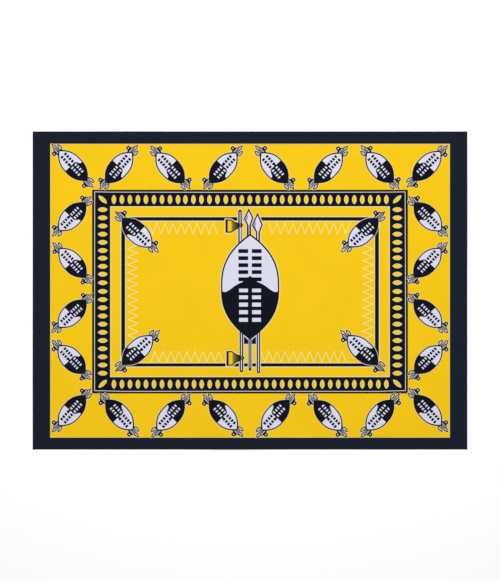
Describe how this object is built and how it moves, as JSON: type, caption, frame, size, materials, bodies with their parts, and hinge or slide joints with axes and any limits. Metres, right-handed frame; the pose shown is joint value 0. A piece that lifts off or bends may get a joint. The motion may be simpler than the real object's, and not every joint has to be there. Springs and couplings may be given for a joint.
{
  "type": "kanga cloth",
  "caption": "Rectangular printed cotton cloth laid out flat, face up, with narrow hems at its short ends and a printed border on every side.",
  "frame": {"origin": "on the surface, under the middle of the cloth", "axes": "+X along the long side, +Y along the short side towards the upright design's top, +Z out of the printed face"},
  "size_m": [1.5, 1.098, 0.0038],
  "materials": {
    "printed_cotton": "matt plain-weave cotton, printed in black and white on yellow"
  },
  "bodies": {
    "root": {"kanga_cloth": "printed_cotton"}
  },
  "joints": []
}
